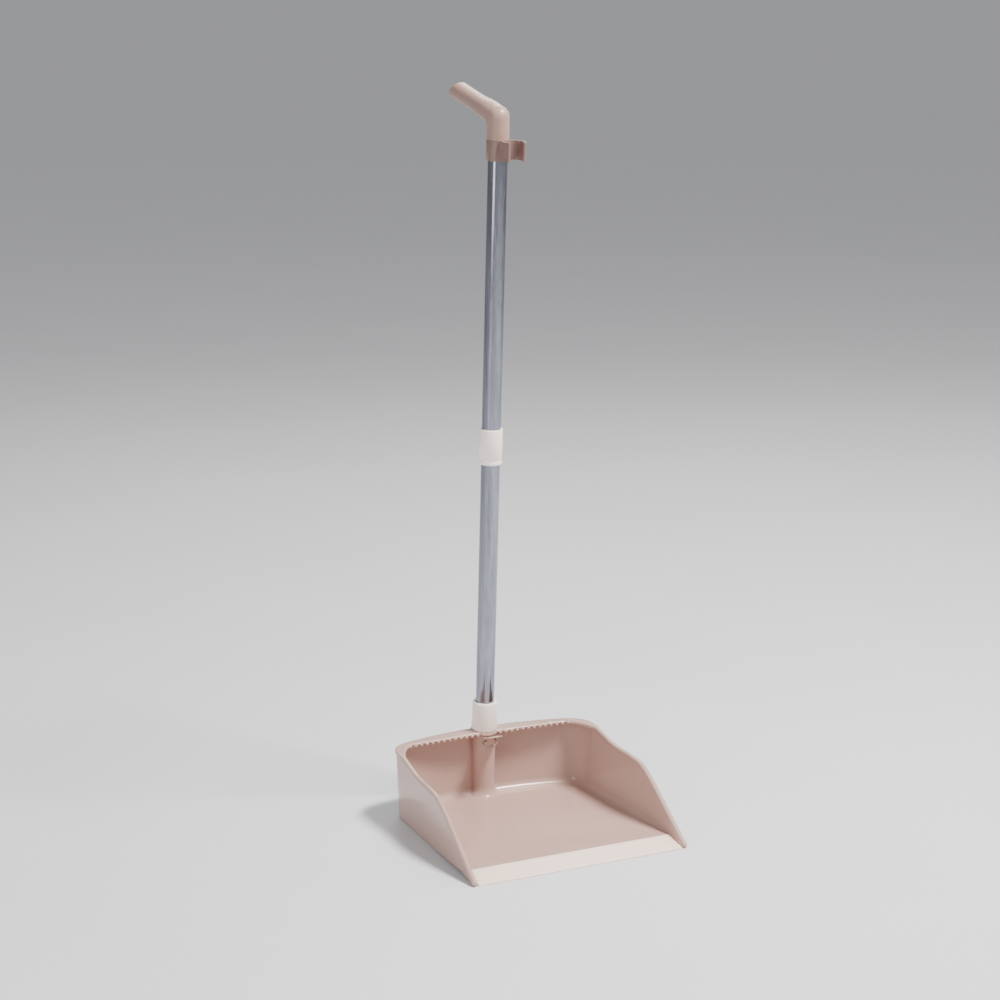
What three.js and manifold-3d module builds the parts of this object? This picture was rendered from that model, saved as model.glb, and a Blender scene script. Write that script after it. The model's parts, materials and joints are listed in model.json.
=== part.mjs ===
// Long-handled dust pan with a broom clip.
// Millimetres, +Z up, +X to the right, the pan's open front towards -Y.
import * as THREE from 'three';
import { mergeVertices } from 'three/addons/utils/BufferGeometryUtils.js';
import Module from 'manifold-3d';

const wasm = await Module();
wasm.setup();

// ---------------------------------------------------------------- driving dimensions
const GAP = 0.3;                    // clearance between pieces that touch
const ROUND = 32;                   // facets round a tube
const DEG = Math.PI / 180;

// pan, in the lip frame: y = 0 at the front edge, z = 0 on the ground
const FRONT_HALF = 125.5;           // outside of a side wall at the front, at the ground
const REAR_HALF = 118;              // outside of a side wall at the rear, at the ground
const DRAFT = Math.tan(2 * DEG);    // side walls open outwards with height
const WALL = 2.2;
const SIDE_END_Y = 214;             // where a side wall meets its rear corner
const CORNER_X = 94;                // where a rear corner meets the bowed back wall
const CORNER_Y = 245;
const BOW_SLOPE = 0.26;             // slope of the bowed back wall at CORNER_X
const RIM_Z = 80;                   // top of the rim shelf
const SHELF_THICK = 2.6;
const SHELF_OVERHANG = 1.5;
const COMB_Y = 237.5;               // middle of the shelf's front edge, which carries the comb
const COMB_BOW = 3.7;               // how far the ends of that edge stand ahead of its middle
const COMB_HALF = 99;               // where that edge starts to turn into the side rail
const TURN = { x: 112, y: 227 };    // control point of that turn
const SHELF_END_Y = 200;            // where it has become the side rail
const RAIL_R = 3;                   // rolled rail along the side walls
const RAIL_INSET = 1.2;             // rail centre, inwards from the wall's outside
const TOOTH_R = 1.6;
const TOOTH_REACH = 3.4;
const TOOTH_COUNT = 29;
const TOOTH_DROOP = 15 * DEG;

// floor section: flat at the rear, rising to a crest, then the ramp that the lip strip covers
const FLAT_FROM_Y = 150;
const CREST_Y = 34;
const CREST_Z = 7.2;
const STRIP_DEPTH = 30;
const STRIP_THICK = 1.6;
const STRIP_HALF = 120.6;
const STRIP_TOP_Z = 7.4;
const RAMP_FOOT_Y = 8;
const RAMP_FOOT_Z = 1.2;
const RAMP_END = [STRIP_DEPTH + GAP, STRIP_TOP_Z - STRIP_THICK - GAP];
const FLOOR_FILLET = 9;
const HOLLOW_FROM_Y = 12;           // the floor is hollow underneath from here to FLAT_FROM_Y
const FLOOR_END_Y = 252;
const BEYOND = 150;                 // half width of a cutting body, past both side walls

// handle axis: leans forwards from its foot on the ground
const AXIS_FOOT_Y = 254.9;
const LEAN = 4.33 * DEG;

// handle stations, along the axis from the ground
const SEAT_S = 81.2;                // top of the socket column
const SOCKET_FLOOR_S = 3;
const SPIGOT_END_S = 20;
const SLEEVE_TOP_S = 115;
const WEB = 3;                      // web across the sleeve, under the tube
const COUPLING_S = [396, 436];
const STOP_RING = 2.8;              // ring inside the coupling, between the tubes
const COLLAR_S = [731, 752.5];
const TUBE_TOP_S = 762;
const TUBE_R = 10.6;
const TUBE_WALL = 0.8;
const SOCKET_R = [10.35, 11.0];     // bottom and top of the tapered socket
const COLUMN_R = [12.7, 13.5, 13.9];
const COLUMN_STEP_S = 62;
const SLEEVE_R = [14.6, 13.9];
const SPIGOT_WALL = 2.4;
const COUPLING_R = 12.8;
const STOP_RING_R = 8;

// grip: straight neck, a bend, then an arm that rises gently to the back
const NECK_R = 12;
const ARM_R = 10.5;
const ELBOW_R = 11.8;
const GRIP_PATH = { neckTop: 762, corner: 777, bendY: 17, bendZ: 779.6, tipY: 111, tipZ: 793.8 };
const TIP_ROUND = 5.5;              // how far back the rounding of the tip starts
const TIP_SLANT = 0.65;             // the underside of the tip reaches further than its top
const TIP_SLANT_FROM = 26;

// broom clip: collar round the upper tube with a C-shaped clip on its front
const COLLAR_R = 12.7;
const CLIP_CENTRE = 39;             // clip centre, ahead of the tube's axis
const CLIP_R = 13;
const CLIP_WALL = 2.4;
const CLIP_HEIGHT = 20.5;
const CLIP_RISE = 4;                // the clip sits a little higher than the collar
const CLIP_MOUTH = 50 * DEG;        // half angle of the clip's mouth
const ARM_HALF = 4;                 // the arm between the collar and the clip
const ARM_RAKE = 7;                 // how far its lower edge climbs towards the collar

// release tab: a small rocker on the front of the socket column
const TAB_HALF = 9;
const TAB_TIP_Y = 219;
const TAB_THICK = 1.8;
const TAB_Z = 73.2;
const TAB_RISE_FROM_Y = 229;
const TAB_RISE = 4.4;
const LEG_HALF = 5;
const NOSE_HALF = 4;
const PIN_Y = 232.4;
const PIN_Z = 68.6;
const PIN_R = 1.1;
const EAR = { inner: 5.3, outer: 8, front: 229.9, back: 239.8, low: 66, high: 71.2 };

// ---------------------------------------------------------------- solids and booleans

/** Merges shared vertices, drops flat triangles and turns the faces outwards. */
function closed(geometry) {
  const bare = geometry.clone();
  bare.deleteAttribute('normal');
  bare.deleteAttribute('uv');
  const merged = mergeVertices(bare, 1e-4);
  const position = merged.getAttribute('position');
  const corners = [0, 1, 2].map(() => new THREE.Vector3());
  const index = [];
  let volume = 0;
  for (let i = 0; i < merged.index.count; i += 3) {
    const [a, b, c] = [0, 1, 2].map((k) => merged.index.getX(i + k));
    if (a === b || b === c || c === a) continue;
    [a, b, c].forEach((v, k) => corners[k].fromBufferAttribute(position, v));
    volume += corners[0].dot(corners[1].clone().cross(corners[2]));
    index.push(a, b, c);
  }
  if (volume < 0) index.reverse();
  merged.setIndex(index);
  return merged;
}

function toSolid(geometry) {
  const mesh = closed(geometry);
  return new wasm.Manifold(new wasm.Mesh({
    numProp: 3,
    vertProperties: new Float32Array(mesh.getAttribute('position').array),
    triVerts: new Uint32Array(mesh.index.array),
  }));
}

function toGeometry(solid) {
  const mesh = solid.getMesh();
  const geometry = new THREE.BufferGeometry();
  geometry.setAttribute('position', new THREE.BufferAttribute(mesh.vertProperties, 3));
  geometry.setIndex(new THREE.BufferAttribute(mesh.triVerts, 1));
  return geometry;
}

function join(...geometries) {
  return toGeometry(geometries.map(toSolid).reduce((sum, next) => sum.add(next)));
}

function cut(base, ...tools) {
  return toGeometry(tools.map(toSolid).reduce((left, tool) => left.subtract(tool), toSolid(base)));
}

function common(a, b) {
  return toGeometry(toSolid(a).intersect(toSolid(b)));
}

// ---------------------------------------------------------------- shape helpers

function box(low, high) {
  const size = high.map((h, k) => h - low[k]);
  const centre = high.map((h, k) => (h + low[k]) / 2);
  return new THREE.BoxGeometry(...size).translate(...centre);
}

/** Turns a profile of [radius, height] points about the Z axis. */
function turned(profile, facets = ROUND) {
  const points = profile.map(([radius, height]) => new THREE.Vector2(radius, height));
  return new THREE.LatheGeometry(points, facets).rotateX(Math.PI / 2);
}

/** A ring section, closed on itself, turned about the Z axis. */
function turnedRing(profile, facets = ROUND) {
  return turned([...profile, profile[0]], facets);
}

/** Extrudes an outline of [y, z] points along X, between -half and +half. */
function sideExtrusion(outline, half) {
  const shape = new THREE.Shape(outline.map(([y, z]) => new THREE.Vector2(y, z)));
  const solid = new THREE.ExtrudeGeometry(shape, { depth: 2 * half, bevelEnabled: false });
  const axes = new THREE.Matrix4().makeBasis(
    new THREE.Vector3(0, 1, 0), new THREE.Vector3(0, 0, 1), new THREE.Vector3(1, 0, 0));
  return solid.translate(0, 0, -half).applyMatrix4(axes);
}

/** Extrudes a plan shape upwards from low to high, with rounded edges of the given radius. */
function upright(shape, low, high, edge = 0, edgeSteps = 3, curveSegments = 8) {
  const options = { depth: high - low - 2 * edge, curveSegments, bevelEnabled: edge > 0 };
  const bevel = { bevelThickness: edge, bevelSize: edge, bevelOffset: -edge, bevelSegments: edgeSteps };
  const solid = new THREE.ExtrudeGeometry(shape, edge > 0 ? { ...options, ...bevel } : options);
  return solid.translate(0, 0, low + edge);
}

/** Moves a solid from the handle's own frame onto the leaning axis. */
function ontoHandleAxis(geometry) {
  return geometry.rotateX(LEAN).translate(0, AXIS_FOOT_Y, 0);
}

// ---------------------------------------------------------------- pan

/** Outside half width of the pan at a given depth and height. */
function halfWidth(y, z) {
  const atGround = FRONT_HALF + (REAR_HALF - FRONT_HALF) * Math.min(y / SIDE_END_Y, 1);
  return atGround * (1 + z * DRAFT / REAR_HALF);
}

/** Opens a solid outwards with height, as the side walls do. */
function drafted(geometry) {
  const position = geometry.getAttribute('position');
  for (let i = 0; i < position.count; i += 1) {
    position.setX(i, position.getX(i) * (1 + position.getZ(i) * DRAFT / REAR_HALF));
  }
  return geometry;
}

/** The rear part of the plan outline, from the right side wall round to the left one. */
function addRear(shape, sideInset, backInset = sideInset) {
  const side = REAR_HALF - sideInset;
  const cornerY = CORNER_Y - backInset;
  const controlY = cornerY - BOW_SLOPE * (side - CORNER_X);
  shape.lineTo(side, SIDE_END_Y);
  shape.quadraticCurveTo(side - 0.4, controlY, CORNER_X, cornerY);
  shape.quadraticCurveTo(0, cornerY + BOW_SLOPE * CORNER_X, -CORNER_X, cornerY);
  shape.quadraticCurveTo(-side + 0.4, controlY, -side, SIDE_END_Y);
}

function panOutline(inset, frontY) {
  const shape = new THREE.Shape();
  shape.moveTo(FRONT_HALF - inset, frontY);
  addRear(shape, inset);
  shape.lineTo(-FRONT_HALF + inset, frontY);
  return shape;
}

/** Side view of the rail: a straight run up from the front, a shoulder, then a rise to the rim. */
const railSide = new THREE.SplineCurve([
  [3, 3.1], [31.7, 22.8], [60.7, 42.5], [75.6, 52.2], [90.2, 60.4], [103.7, 65.2],
  [123, 67], [143, 67.4], [163.3, 69], [181, 72.8], [SHELF_END_Y, RIM_Z - RAIL_R],
].map(([y, z]) => new THREE.Vector2(y, z)));

function walls() {
  const outside = drafted(upright(panOutline(0, 0), 0, RIM_Z - 1, 3, 2));
  const inside = drafted(upright(panOutline(WALL, -30), WALL, RIM_Z + 40, FLOOR_FILLET, 4, 6));
  const underRail = railSide.getPoints(36).map((p) => [p.x, p.y]);
  const sideView = [...underRail, [SHELF_END_Y, RIM_Z + 5], [300, RIM_Z + 5], [300, -5], [3, -5]];
  return cut(common(outside, sideExtrusion(sideView, BEYOND)), inside);
}

/** Underside of the ramp, one wall below its top. */
const underRamp = [[31, 3.6], [CREST_Y, CREST_Z - WALL]];

function floor() {
  const section = [
    [RAMP_FOOT_Y, 0], [HOLLOW_FROM_Y, 0], ...underRamp, [FLAT_FROM_Y, 0], [FLOOR_END_Y, 0],
    [FLOOR_END_Y, WALL], [FLAT_FROM_Y, WALL], [CREST_Y, CREST_Z], [RAMP_END[0], CREST_Z], RAMP_END,
    [RAMP_FOOT_Y, RAMP_FOOT_Z],
  ];
  const outside = drafted(upright(panOutline(0.5, 0), 0, RIM_Z));
  return common(sideExtrusion(section, BEYOND), outside);
}

/** The space under the raised part of the floor, which also trims the side walls there. */
function underFloor() {
  return sideExtrusion([
    [HOLLOW_FROM_Y, -5], [HOLLOW_FROM_Y, 0], ...underRamp, [FLAT_FROM_Y, 0], [FLAT_FROM_Y, -5],
  ], BEYOND);
}

/** Half width of the shelf's inner edge where it has turned into the side rail. */
const railStartX = halfWidth(SHELF_END_Y, RIM_Z - RAIL_R) - RAIL_INSET;

/** The comb's slightly bowed edge. */
function combEdgeY(x) {
  return COMB_Y - COMB_BOW * (x / COMB_HALF) ** 2;
}

function shelf() {
  const shape = new THREE.Shape();
  const side = halfWidth(SHELF_END_Y, RIM_Z) + SHELF_OVERHANG;
  shape.moveTo(railStartX, SHELF_END_Y);
  shape.lineTo(side, SHELF_END_Y);
  addRear(shape, -SHELF_OVERHANG - RIM_Z * DRAFT, -SHELF_OVERHANG);
  shape.lineTo(-side, SHELF_END_Y);
  shape.lineTo(-railStartX, SHELF_END_Y);
  shape.quadraticCurveTo(-TURN.x, TURN.y, -COMB_HALF, combEdgeY(COMB_HALF));
  shape.quadraticCurveTo(0, COMB_Y + COMB_BOW, COMB_HALF, combEdgeY(COMB_HALF));
  shape.quadraticCurveTo(TURN.x, TURN.y, railStartX, SHELF_END_Y);
  return upright(shape, RIM_Z - SHELF_THICK, RIM_Z, 0.8, 2, 10);
}

/** The rolled rail: round the shelf's inner corner, then down along the side wall. */
function rail(side) {
  const railZ = RIM_Z - SHELF_THICK / 2;
  const turn = new THREE.QuadraticBezierCurve(
    new THREE.Vector2(COMB_HALF, combEdgeY(COMB_HALF)), new THREE.Vector2(TURN.x, TURN.y),
    new THREE.Vector2(railStartX, SHELF_END_Y));
  const points = turn.getPoints(6).slice(0, -1).map((p, k) => [p.x, p.y, railZ - 0.18 * k]);
  for (const p of railSide.getSpacedPoints(16).reverse()) {
    points.push([halfWidth(p.x, p.y) - RAIL_INSET, p.x, p.y]);
  }
  const path = new THREE.CatmullRomCurve3(points.map(([x, y, z]) => new THREE.Vector3(side * x, y, z)));
  const section = new THREE.Shape().absarc(0, 0, RAIL_R, 0, 2 * Math.PI);
  const bar = new THREE.ExtrudeGeometry(section, { steps: 46, curveSegments: 4, extrudePath: path });
  const [x, y, z] = points[points.length - 1];
  const frontEnd = new THREE.SphereGeometry(RAIL_R, 8, 6).translate(side * x, y, z);
  return join(bar, frontEnd);
}

function comb() {
  const teeth = [];
  for (let i = 0; i < TOOTH_COUNT; i += 1) {
    const tooth = new THREE.CapsuleGeometry(TOOTH_R, TOOTH_REACH, 2, 6);
    tooth.rotateX(TOOTH_DROOP);
    const x = (2 * i / (TOOTH_COUNT - 1) - 1) * COMB_HALF;
    teeth.push(tooth.translate(x, combEdgeY(x) - TOOTH_REACH / 2 + TOOTH_R, RIM_Z - TOOTH_R - 0.2));
  }
  return join(...teeth);
}

function column() {
  return ontoHandleAxis(turned([
    [0, -6], [COLUMN_R[0], -6], [COLUMN_R[1], COLUMN_STEP_S], [COLUMN_R[2], COLUMN_STEP_S + 0.5],
    [COLUMN_R[2], RIM_Z - 5], [COLUMN_R[2] + 1.6, RIM_Z - 3.5], [COLUMN_R[2] + 1.6, SEAT_S], [0, SEAT_S],
  ]));
}

function socket() {
  return ontoHandleAxis(turned([
    [0, SOCKET_FLOOR_S], [SOCKET_R[0], SOCKET_FLOOR_S], [SOCKET_R[1], SEAT_S], [SOCKET_R[1], SEAT_S + 20],
    [0, SEAT_S + 20],
  ]));
}

function pan() {
  const ears = [-1, 1].map((side) => {
    const xs = [side * EAR.inner, side * EAR.outer].sort((a, b) => a - b);
    return box([xs[0], EAR.front, EAR.low], [xs[1], EAR.back, EAR.high]);
  });
  const shell = join(walls(), floor(), shelf(), rail(-1), rail(1), comb(), column(), ...ears);
  const pinHole = new THREE.CylinderGeometry(PIN_R + GAP, PIN_R + GAP, 4 * EAR.outer, 12)
    .rotateZ(Math.PI / 2).translate(0, PIN_Y, PIN_Z);
  const noseWindow = box(
    [-NOSE_HALF - 0.5, PIN_Y - 4, TAB_Z - 0.5], [NOSE_HALF + 0.5, PIN_Y + 13, TAB_Z + TAB_THICK + 1.2]);
  const stripRoom = sideExtrusion([
    [-10, -5], [RAMP_FOOT_Y, -5], [RAMP_FOOT_Y, RAMP_FOOT_Z], RAMP_END, [RAMP_END[0], 12], [-10, 12],
  ], STRIP_HALF + GAP);
  const belowGround = box([-200, -20, -20], [200, 320, 0]);
  return cut(shell, underFloor(), socket(), pinHole, noseWindow, stripRoom, belowGround);
}

function lipStrip() {
  const slope = (STRIP_TOP_Z - STRIP_THICK) / STRIP_DEPTH;
  const footY = RAMP_FOOT_Y - GAP;
  return sideExtrusion([
    [0.5, 0], [footY, 0], [footY, slope * footY], [STRIP_DEPTH, slope * STRIP_DEPTH],
    [STRIP_DEPTH, STRIP_TOP_Z], [1.2, STRIP_THICK + slope * 1.2], [0.3, 1.3], [0, 0.7],
  ], STRIP_HALF);
}

// ---------------------------------------------------------------- release tab and its pin

function releaseTab() {
  const top = TAB_Z + TAB_THICK;
  const tongue = sideExtrusion([
    [PIN_Y + 1.5, TAB_Z], [PIN_Y + 1.5, top], [TAB_RISE_FROM_Y, top],
    [TAB_TIP_Y, top + TAB_RISE], [TAB_TIP_Y, top + TAB_RISE - 1.4], [TAB_RISE_FROM_Y, TAB_Z],
  ], TAB_HALF);
  const noseY = AXIS_FOOT_Y - TAB_Z * Math.tan(LEAN) - SOCKET_R[1] - GAP;
  const nose = box([-NOSE_HALF, PIN_Y, TAB_Z], [NOSE_HALF, noseY, top]);
  const leg = box([-LEG_HALF, PIN_Y - 1, PIN_Z - 2.2], [LEG_HALF, PIN_Y + 1.5, top]);
  const boss = new THREE.CylinderGeometry(2.3, 2.3, 2 * LEG_HALF, 16)
    .rotateZ(Math.PI / 2).translate(0, PIN_Y, PIN_Z);
  const pinHole = new THREE.CylinderGeometry(PIN_R + GAP, PIN_R + GAP, 4 * LEG_HALF, 12)
    .rotateZ(Math.PI / 2).translate(0, PIN_Y, PIN_Z);
  return cut(join(tongue, nose, leg, boss), pinHole);
}

function tabPin() {
  return new THREE.CylinderGeometry(PIN_R, PIN_R, 2 * EAR.outer, 12)
    .rotateZ(Math.PI / 2).translate(0, PIN_Y, PIN_Z);
}

// ---------------------------------------------------------------- handle

const tubeBoreR = TUBE_R + GAP;
const sleeveBottom = SEAT_S + GAP;
const sleeveFloor = sleeveBottom + WEB;
const couplingMid = (COUPLING_S[0] + COUPLING_S[1]) / 2;

function lowerSleeve() {
  const spigotTop = SOCKET_R[1] - GAP;
  const spigotEnd = SOCKET_R[0] + 0.14 - GAP;
  return turned([
    [0, sleeveBottom], [spigotTop - SPIGOT_WALL, sleeveBottom], [spigotEnd - SPIGOT_WALL, SPIGOT_END_S],
    [spigotEnd - 0.6, SPIGOT_END_S], [spigotEnd, SPIGOT_END_S + 1], [spigotTop - 0.05, 71.5],
    [spigotTop - 1.2, 72.2], [spigotTop - 1.2, 76.8], [spigotTop, 77.5], [spigotTop, sleeveBottom],
    [SLEEVE_R[0] - 0.6, sleeveBottom], [SLEEVE_R[0], sleeveBottom + 0.6], [SLEEVE_R[1], SLEEVE_TOP_S - 0.6],
    [SLEEVE_R[1] - 0.6, SLEEVE_TOP_S], [tubeBoreR, SLEEVE_TOP_S], [tubeBoreR, sleeveFloor], [0, sleeveFloor],
  ]);
}

function tube(bottom, top) {
  const inner = TUBE_R - TUBE_WALL;
  return turnedRing([[inner, bottom], [TUBE_R, bottom], [TUBE_R, top], [inner, top]]);
}

function midCoupling() {
  const [bottom, top] = COUPLING_S;
  const half = STOP_RING / 2;
  return turnedRing([
    [tubeBoreR, bottom], [COUPLING_R - 0.5, bottom], [COUPLING_R, bottom + 0.5], [COUPLING_R, top - 0.5],
    [COUPLING_R - 0.5, top], [tubeBoreR, top], [tubeBoreR, couplingMid + half],
    [STOP_RING_R, couplingMid + half], [STOP_RING_R, couplingMid - half], [tubeBoreR, couplingMid - half],
  ]);
}

/** Bends a solid of revolution, which stands on z = 0, along a curve in the YZ plane. */
function bentAlong(geometry, curve) {
  const length = curve.getLength();
  const position = geometry.getAttribute('position');
  for (let i = 0; i < position.count; i += 1) {
    const across = position.getY(i);
    const nearTip = Math.max(position.getZ(i) - length + TIP_SLANT_FROM, 0) / TIP_SLANT_FROM;
    const along = Math.max(position.getZ(i) + TIP_SLANT * nearTip * across, 0);
    const past = Math.max(along - length, 0);
    const point = curve.getPointAt(Math.min(along / length, 1));
    const tangent = curve.getTangentAt(Math.min(along / length, 1));
    position.setXYZ(i, position.getX(i), point.x + past * tangent.x + across * tangent.y,
      point.y + past * tangent.y - across * tangent.x);
  }
  return geometry;
}

function grip() {
  const p = GRIP_PATH;
  const bottom = COLLAR_S[1] + GAP;
  const path = new THREE.CurvePath();
  path.add(new THREE.LineCurve(new THREE.Vector2(0, bottom), new THREE.Vector2(0, p.neckTop)));
  path.add(new THREE.QuadraticBezierCurve(new THREE.Vector2(0, p.neckTop),
    new THREE.Vector2(0, p.corner), new THREE.Vector2(p.bendY, p.bendZ)));
  path.add(new THREE.LineCurve(new THREE.Vector2(p.bendY, p.bendZ), new THREE.Vector2(p.tipY, p.tipZ)));
  const length = path.getLength();
  const neck = p.neckTop - bottom;
  const profile = [[0, 0], [NECK_R, 0], [NECK_R, neck]];
  const rings = 20;
  for (let i = 1; i <= rings; i += 1) {
    const t = i / rings;
    const taper = THREE.MathUtils.smoothstep(t, 0.2, 0.5);
    const radius = NECK_R + (ARM_R - NECK_R) * taper;
    profile.push([radius, neck + (length - neck - TIP_ROUND) * t]);
  }
  for (const angle of [25, 50, 72]) {
    profile.push([ARM_R * Math.cos(angle * DEG), length - TIP_ROUND + TIP_ROUND * Math.sin(angle * DEG)]);
  }
  profile.push([0, length]);
  const elbow = new THREE.SphereGeometry(ELBOW_R, 24, 16).translate(0, 0, p.corner);
  const roomTop = TUBE_TOP_S + GAP;
  const tubeRoom = turned([[0, bottom - 5], [tubeBoreR, bottom - 5], [tubeBoreR, roomTop], [0, roomTop]], 24);
  return cut(join(bentAlong(turned(profile, 24), path), elbow), tubeRoom);
}

function broomClip() {
  const [bottom, top] = COLLAR_S;
  const clipLow = (bottom + top - CLIP_HEIGHT) / 2 + CLIP_RISE;
  const clipTop = clipLow + CLIP_HEIGHT;
  const collar = turned([[0, bottom], [COLLAR_R, bottom], [COLLAR_R, top], [0, top]]);
  const start = -Math.PI / 2 + CLIP_MOUTH;
  const end = 1.5 * Math.PI - CLIP_MOUTH;
  const innerR = CLIP_R - CLIP_WALL;
  const shape = new THREE.Shape();
  shape.absarc(0, 0, CLIP_R, start, end, false);
  shape.absarc(0, 0, innerR, end, start, true);
  const prongs = upright(shape, clipLow, clipTop, 0, 0, 14).translate(0, -CLIP_CENTRE, 0);
  const endR = innerR + CLIP_WALL / 2;
  const beadR = CLIP_WALL * 0.62;
  const tipY = -CLIP_CENTRE - endR * Math.cos(CLIP_MOUTH);
  const tips = [-1, 1].map((side) => new THREE.CylinderGeometry(beadR, beadR, CLIP_HEIGHT, 12)
    .rotateX(Math.PI / 2).translate(side * endR * Math.sin(CLIP_MOUTH), tipY, (clipLow + clipTop) / 2));
  const backY = -CLIP_CENTRE + innerR + 0.6;
  const arm = sideExtrusion([
    [backY, clipLow], [-CLIP_CENTRE + CLIP_R, clipLow], [-tubeBoreR, bottom + ARM_RAKE], [-tubeBoreR, top],
    [-COLLAR_R - 1, top], [-CLIP_CENTRE + CLIP_R, clipTop], [backY, clipTop],
  ], ARM_HALF);
  const tubeRoom = turned([[0, bottom - 5], [tubeBoreR, bottom - 5], [tubeBoreR, top + 5], [0, top + 5]]);
  return cut(join(collar, prongs, ...tips, arm), tubeRoom);
}

// ---------------------------------------------------------------- scene graph

function named(name, geometry, [color, roughness, metalness]) {
  const material = new THREE.MeshStandardMaterial({ color, roughness, metalness });
  const mesh = new THREE.Mesh(closed(geometry), material);
  mesh.name = name;
  return mesh;
}

const TAUPE = ['#b79e97', 0.35, 0];
const PALE_TAUPE = ['#dcc9c1', 0.5, 0];
const DARK_TAUPE = ['#8d7370', 0.4, 0];
const WHITE = ['#efe6e2', 0.4, 0];
const STEEL = ['#c4c8cc', 0.18, 1];

const scoop = new THREE.Group();
scoop.add(named('pan', pan(), TAUPE));
scoop.add(named('lip_strip', lipStrip(), PALE_TAUPE));
scoop.add(named('release_tab', releaseTab(), TAUPE));
scoop.add(named('tab_pin', tabPin(), STEEL));

const handle = new THREE.Group();
handle.position.y = AXIS_FOOT_Y;
handle.rotation.x = LEAN;
handle.add(named('lower_sleeve', lowerSleeve(), WHITE));
handle.add(named('lower_tube', tube(sleeveFloor + GAP, couplingMid - STOP_RING / 2 - GAP), STEEL));
handle.add(named('mid_coupling', midCoupling(), WHITE));
handle.add(named('upper_tube', tube(couplingMid + STOP_RING / 2 + GAP, TUBE_TOP_S), STEEL));
handle.add(named('broom_clip', broomClip(), DARK_TAUPE));
handle.add(named('grip', grip(), DARK_TAUPE));

// the origin is the bottom centre of the whole object's box
const group = new THREE.Group();
group.add(scoop, handle);
const bounds = new THREE.Box3().setFromObject(group, true);
group.position.set(0, -(bounds.min.y + bounds.max.y) / 2, -bounds.min.z);

export default group;
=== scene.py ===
"""Long-handled dust pan with a broom clip, modelled on its mechanical frame.

Shapes are given in millimetres in two local frames. The pan's frame has y = 0 at the front
lip and z = 0 on the ground. The handle's frame has z along the leaning handle, from the
ground up. Everything is turned into metres and moved onto the frame as it is made.
"""
import json
import math

import bpy
from mathutils import Matrix, Vector


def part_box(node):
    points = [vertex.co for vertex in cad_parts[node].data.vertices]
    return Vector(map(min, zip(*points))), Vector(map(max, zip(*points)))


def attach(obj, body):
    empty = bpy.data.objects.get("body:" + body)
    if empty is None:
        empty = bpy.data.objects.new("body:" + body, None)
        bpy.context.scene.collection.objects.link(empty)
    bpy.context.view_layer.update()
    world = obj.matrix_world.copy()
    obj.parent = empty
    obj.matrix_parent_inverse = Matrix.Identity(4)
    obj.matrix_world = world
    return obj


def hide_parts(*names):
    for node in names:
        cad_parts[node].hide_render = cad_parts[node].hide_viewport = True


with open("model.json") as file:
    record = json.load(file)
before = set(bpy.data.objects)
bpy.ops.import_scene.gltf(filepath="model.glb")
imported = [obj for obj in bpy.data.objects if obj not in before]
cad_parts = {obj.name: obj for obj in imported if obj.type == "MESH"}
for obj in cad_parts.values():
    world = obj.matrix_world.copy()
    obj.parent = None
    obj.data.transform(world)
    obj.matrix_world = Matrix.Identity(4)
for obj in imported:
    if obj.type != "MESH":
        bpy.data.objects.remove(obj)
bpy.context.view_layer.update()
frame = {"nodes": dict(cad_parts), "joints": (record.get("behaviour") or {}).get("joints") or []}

MM = 0.001
LIP_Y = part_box("lip_strip")[0].y
JOINTS = {joint["name"]: joint for joint in frame["joints"]}

# ------------------------------------------------------------------ pan dimensions
FRONT_HALF = 125.5               # half widths on the ground
REAR_HALF = 118
DRAFT = math.tan(math.radians(2))
WALL = 2.2
SIDE_END_Y = 214                 # the straight sides turn into the back corners
CORNER_X = 94                    # the back corners turn into the bowed back
CORNER_Y = 245
BOW_SLOPE = 0.26
RIM_Z = 80
SHELF_THICK = 2.8
SHELF_OVERHANG = 1.5
COMB_Y = 237.5                   # middle of the shelf's front edge, which carries the comb
COMB_BOW = 3.7                   # how far the ends of that edge stand ahead of its middle
COMB_HALF = 99                   # half the comb's length
TURN_X, TURN_Y = 112, 227        # control point of the turn from the comb into the side rail
SHELF_END_Y = 200                # the shelf's ends, where the side rails start to fall
RAIL_R = 3
RAIL_INSET = 1.2                 # from the wall's outside to the rail's middle
FLOOR_FILLET = 9
FLAT_FROM_Y = 150                # behind this the floor lies on the ground
CREST_Y = 34                     # highest line of the floor, behind the lip strip
CREST_Z = 7.2
TOOTH_R = 1.9
TOOTH_REACH = 3                  # length of the stalk behind each bead
TOOTH_COUNT = 29
BEYOND = 150                     # half width of a cutting body that passes both side walls

# lip strip and the ramp that it lies on
STRIP_DEPTH = 30
STRIP_THICK = 1.6
STRIP_HALF = 120.6
STRIP_TOP_Z = 7.4
RAMP_FOOT_Y = 8
RAMP_FOOT_Z = 1.2
GAP = 0.3                        # clearance between neighbouring parts

# ------------------------------------------------------------------ handle stations
SEAT_S = 81.2                    # top of the socket column, which the sleeve stands on
SLEEVE_TOP_S = 115
COUPLING_S = (396, 436)
COUPLING_MID = sum(COUPLING_S) / 2
STOP_HALF = 1.4                  # half height of the ledge inside the coupling
COLLAR_S = (731, 752.5)
NECK_S = COLLAR_S[1] + GAP
TUBE_TOP_S = 762
TUBE_R = 10.6
TUBE_WALL = 0.8
BORE_R = TUBE_R + GAP

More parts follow.
